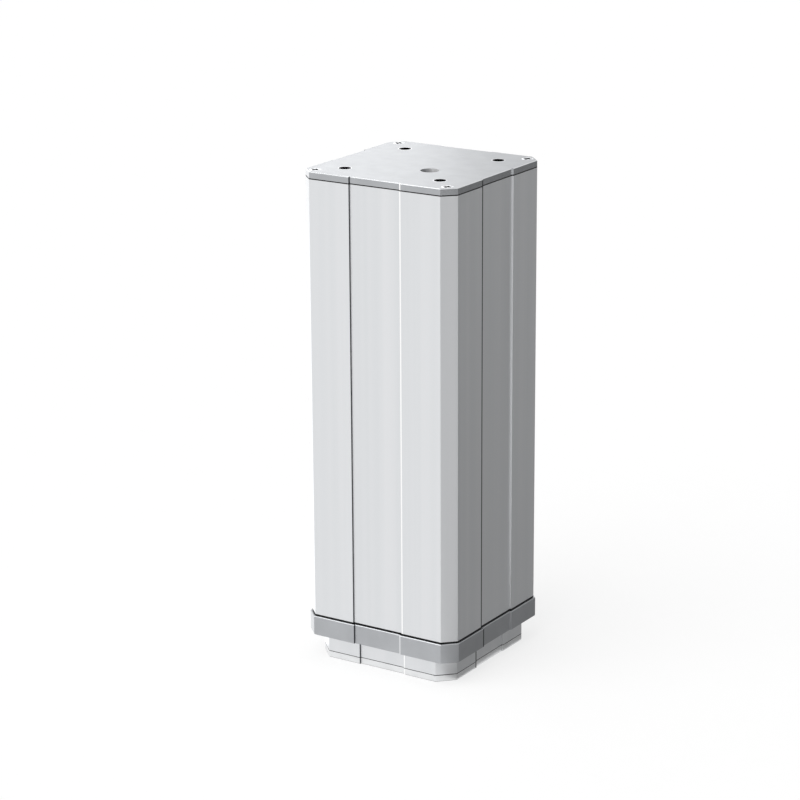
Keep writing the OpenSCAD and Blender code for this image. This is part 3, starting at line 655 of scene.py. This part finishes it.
def add_spindle():
    """The spindle with its two-start trapezoidal thread, and its smooth bearing journal.

    Under the bearing its shoulder steps in, so that it bears on the inner ring and clears the
    shield.
    """
    work = bmesh.new()
    low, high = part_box("spindle")
    inner_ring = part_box("bearing_inner_rings")
    shoulder, seat = inner_ring[0].z, inner_ring[1].x - 0.3 * MM
    crest, journal = (high.x - low.x) / 2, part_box("output_shaft")[1].x + 1.0 * MM
    pitch, starts = 4 * MM, 2
    root = crest - 2.25 * MM    # as deep as a trapezoidal thread of this pitch is
    soft = 0.5 * MM             # height of the chamfers
    thread_low, thread_high, step = low.z + 1 * MM, shoulder - 3 * MM, shoulder - 1 * MM
    upright = Matrix.Identity(4)
    add_thread(work, upright, root, crest, pitch, starts, thread_high, thread_low, SPINDLE_COUNT)
    for rings in (
        [(crest - 3 * MM, low.z), (root, low.z + soft), (root, thread_low)],
        [(root, thread_high), (crest - soft, thread_high), (crest, thread_high + soft),
         (crest, step - soft / 2), (crest - soft / 2, step), (seat, step), (seat, shoulder),
         (journal, shoulder), (journal, high.z - soft), (journal - soft, high.z)],
    ):
        made = [add_ring(work, upright, round_reach(radius), z, RING_COUNT) for radius, z in rings]
        work.faces.new(made[0])
        work.faces.new(made[-1])
        for first, second in zip(made, made[1:]):
            bridge(work, first, second)
    add_piece("threaded_spindle", work, [STEEL], "drive_steel", "spindle", "spindle")


def grooved_square(half, chamfer, half_groove, depth):
    """Corners of a chamfered square with a shallow groove in each side, anticlockwise."""
    side = [(half, chamfer - half), (half, -half_groove), (half - depth, -half_groove),
            (half - depth, half_groove), (half, half_groove), (half, half - chamfer)]
    corners = []
    for turn in ((1, 0), (0, 1), (-1, 0), (0, -1)):
        corners += [(x * turn[0] - y * turn[1], x * turn[1] + y * turn[0]) for x, y in side]
    return corners


SEAL_DEPTH = 1.2 * MM       # how deep a seal reaches into its joint
SEAL_PROUD = 0.02 * MM      # how far it stands out of the faces


def add_seal(name, body, z, height, chamfer, section):
    """The black bead, height tall, in the joint of a profile at z. chamfer is the profile's."""
    work = bmesh.new()
    rings = []
    half_width, half_groove, _ = section
    for inset, rise in ((SEAL_DEPTH, -0.5), (-SEAL_PROUD, -0.5),
                        (-SEAL_PROUD, 0.5), (SEAL_DEPTH, 0.5)):
        points = grooved_square(half_width - inset, chamfer - inset * (2 - math.sqrt(2)),
                                half_groove + inset, GROOVE_DEPTH)
        rings.append([work.verts.new((x, y, z + rise * height)) for x, y in points])
    for first, second in zip(rings, rings[1:] + rings[:1]):
        bridge(work, first, second)
    add_piece(name, work, [RUBBER], "buffer_rubber", body)


add_seal("top_joint_seal", "lift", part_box("top_plate")[0].z, 0.9 * MM, OUTER_CHAMFER,
         OUTER_SECTION)
add_seal("guide_joint_seal", "lift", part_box("outer_profile")[0].z, 0.8 * MM, OUTER_CHAMFER,
         OUTER_SECTION)
add_seal("base_joint_seal", "base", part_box("base_plate")[1].z, 0.5 * MM, INNER_CHAMFER,
         INNER_SECTION)
add_screws("top_plate_screws", "lift", True, 2.2 * MM, 0.8 * MM)
add_screws("base_plate_screws", "base", False, 2.2 * MM, 0.8 * MM)
add_screws("tube_foot_screws", "base", False, 2.5 * MM, 0.8 * MM)
add_screws("collar_screws", "lift", False, 2.2 * MM, 0.8 * MM, 5 * MM, 4 * MM)
add_screws("pillar_screws", "lift", False, 2.5 * MM, 0.8 * MM, 5 * MM, 5 * MM)
add_screws("gearbox_screws", "lift", False, 1.65 * MM, 0.6 * MM, 4 * MM, 3 * MM)
add_spindle()


# ---------- Floor, light and camera ----------

WORLD_LIGHT = 0.6           # how strongly the white surround lights matt surfaces
TABLE_GLOW = 0.70           # share of the shooting table's brightness that comes through it
TABLE_REACH = 60.0          # metres from its middle to each edge, far beyond what the camera sees
TABLE_CLOUDS = 30 * MM      # patches in which the table's white varies
BOARD_CLOUDS = 100 * MM     # patches in which a card's white varies
FLOOR_GAP = 0.5 * MM        # how far the cards that lie down are above the table


def white_world():
    """A white surround for what looks at it or mirrors it, and a softer one for what it lights."""
    world = bpy.data.worlds.new("studio")
    world.use_nodes = True
    tree = world.node_tree
    tree.nodes.clear()
    ways = add_node(tree, "LightPath").outputs
    seen = ways["Is Camera Ray"]
    for way in ("Is Glossy Ray", "Is Transmission Ray"):
        seen = add_node(tree, "Math", {"operation": "MAXIMUM"}, {0: seen, 1: ways[way]})
    strength = add_node(tree, "MapRange", links={
        "Value": seen, "To Min": WORLD_LIGHT, "To Max": 1.0})
    light = add_node(tree, "Background", links={"Color": (1, 1, 1, 1), "Strength": strength})
    add_node(tree, "OutputWorld", links={"Surface": light})
    bpy.context.scene.world = world


def stage_sheet(name, corners, material):
    """A flat sheet of the studio with the given corners in metres."""
    mesh = bpy.data.meshes.new(name)
    mesh.from_pydata(corners, [], [tuple(range(len(corners)))])
    mesh.materials.append(material)
    sheet = bpy.data.objects.new(name, mesh)
    bpy.context.scene.collection.objects.link(sheet)
    return sheet


def shooting_table():
    """A wide white table, lit from below as well as from above, so that shadows stay faint."""
    low, reach = cad_box[0].z, TABLE_REACH
    material, tree = new_material("white_table")
    end_surface(tree, {
        "Base Color": add_node(tree, "Mix", {"data_type": "RGBA"}, {
            "Factor": grains(tree, TABLE_CLOUDS), "A": linear("#9A9A9A"),
            "B": linear("#9C9C9C")}),
        "Roughness": 1.0,
        "Specular IOR Level": 0.0,
        "Emission Color": (1, 1, 1, 1),
        "Emission Strength": TABLE_GLOW,
    })
    stage_sheet("table", [(-reach, -reach, low), (reach, -reach, low), (reach, reach, low),
                          (-reach, reach, low)], material)


def card(name, level, corners):
    """A studio card that only shows as a reflection in the metal. Level 1 is white."""
    material, tree = new_material(name + "_board")
    colour = add_node(tree, "Mix", {"data_type": "RGBA"}, {
        "Factor": grains(tree, BOARD_CLOUDS), "A": linear("#F8F8F8"), "B": linear("#FFFFFF")})
    glow = add_node(tree, "Emission", links={"Color": colour, "Strength": level})
    add_node(tree, "OutputMaterial", links={"Surface": glow})
    sheet = stage_sheet(name, corners, material)
    sheet.visible_camera = False
    sheet.visible_diffuse = False
    sheet.visible_shadow = False


def soft_sun(name, azimuth, elevation, strength, spread):
    """Soft light from azimuth (0 is in front, 90 at the right) and elevation, in degrees.

    spread is the angle under which it is seen, which sets how soft its shadows are.
    """
    light = bpy.data.lights.new(name, "SUN")
    light.energy = strength
    light.angle = math.radians(spread)
    lamp = bpy.data.objects.new(name, light)
    bpy.context.scene.collection.objects.link(lamp)
    a, e = math.radians(azimuth), math.radians(elevation)
    towards = Vector((math.sin(a) * math.cos(e), -math.cos(a) * math.cos(e), math.sin(e)))
    lamp.rotation_mode = "QUATERNION"
    lamp.rotation_quaternion = towards.to_track_quat("Z", "Y")


def set_camera(azimuth, elevation, distance, height, aside, roll, lens):
    """Looks at the column's axis at the given height, from azimuth and elevation in degrees.

    The camera turns so that the axis lies aside metres from the picture's middle.
    """
    a, e = math.radians(azimuth), math.radians(elevation)
    back = Vector((math.sin(a) * math.cos(e), -math.cos(a) * math.cos(e), math.sin(e)))
    right = Vector((math.cos(a), math.sin(a), 0))
    place = Vector((0, 0, height)) + back * distance
    aim = Vector((0, 0, height)) - right * aside
    data = bpy.data.cameras.new("camera")
    data.sensor_width = 36      # millimetres, as is the lens
    data.lens = lens
    data.clip_end = 200
    camera = bpy.data.objects.new("camera", data)
    bpy.context.scene.collection.objects.link(camera)
    camera.rotation_mode = "QUATERNION"
    turn = (aim - place).to_track_quat("-Z", "Y")
    camera.location = place
    camera.rotation_quaternion = turn @ Matrix.Rotation(math.radians(roll), 3, "Z").to_quaternion()
    bpy.context.scene.camera = camera


white_world()
shooting_table()
# The right mat and wall darken the right side. The left mat brightens the chamfers at the left, and
# the softbox the top plate. The back mat only shows from behind, where it darkens the back.
card("right_mat", 0.285, [(0.0695, -0.0695, FLOOR_GAP), (1.2, -0.79, FLOOR_GAP),
                          (1.2, 3.0, FLOOR_GAP), (0.7, 3.0, FLOOR_GAP), (0.0695, 0.20, FLOOR_GAP)])
card("right_wall", 0.285, [(1.2, -0.79, 0.0), (1.2, 3.0, 0.0), (1.2, 3.0, 2.0), (1.2, -0.79, 2.0)])
card("back_mat", 0.08, [(0.0695, 0.0765, FLOOR_GAP), (0.1, 1.5, FLOOR_GAP),
                        (-0.9, 1.5, FLOOR_GAP), (-0.05, 0.0765, FLOOR_GAP)])
card("left_mat", 1.6, [(-0.0765, -0.07, FLOOR_GAP), (-0.0765, 0.3, FLOOR_GAP),
                       (-1.3, 2.0, FLOOR_GAP), (-2.0, 2.0, FLOOR_GAP), (-2.0, -0.3, FLOOR_GAP)])
card("back_softbox", 2.05, [(-1.05, 0.15, 0.5), (-0.456, 0.798, 0.5), (-0.456, 0.798, 1.1),
                            (-1.05, 0.15, 1.1)])
soft_sun("key_light", -18, 58, 1.2, 50)
set_camera(azimuth=32.2, elevation=16.76, distance=2.4, height=0.227, aside=0.0198, roll=-0.33,
           lens=124.7)
bpy.context.scene.view_settings.view_transform = "Standard"
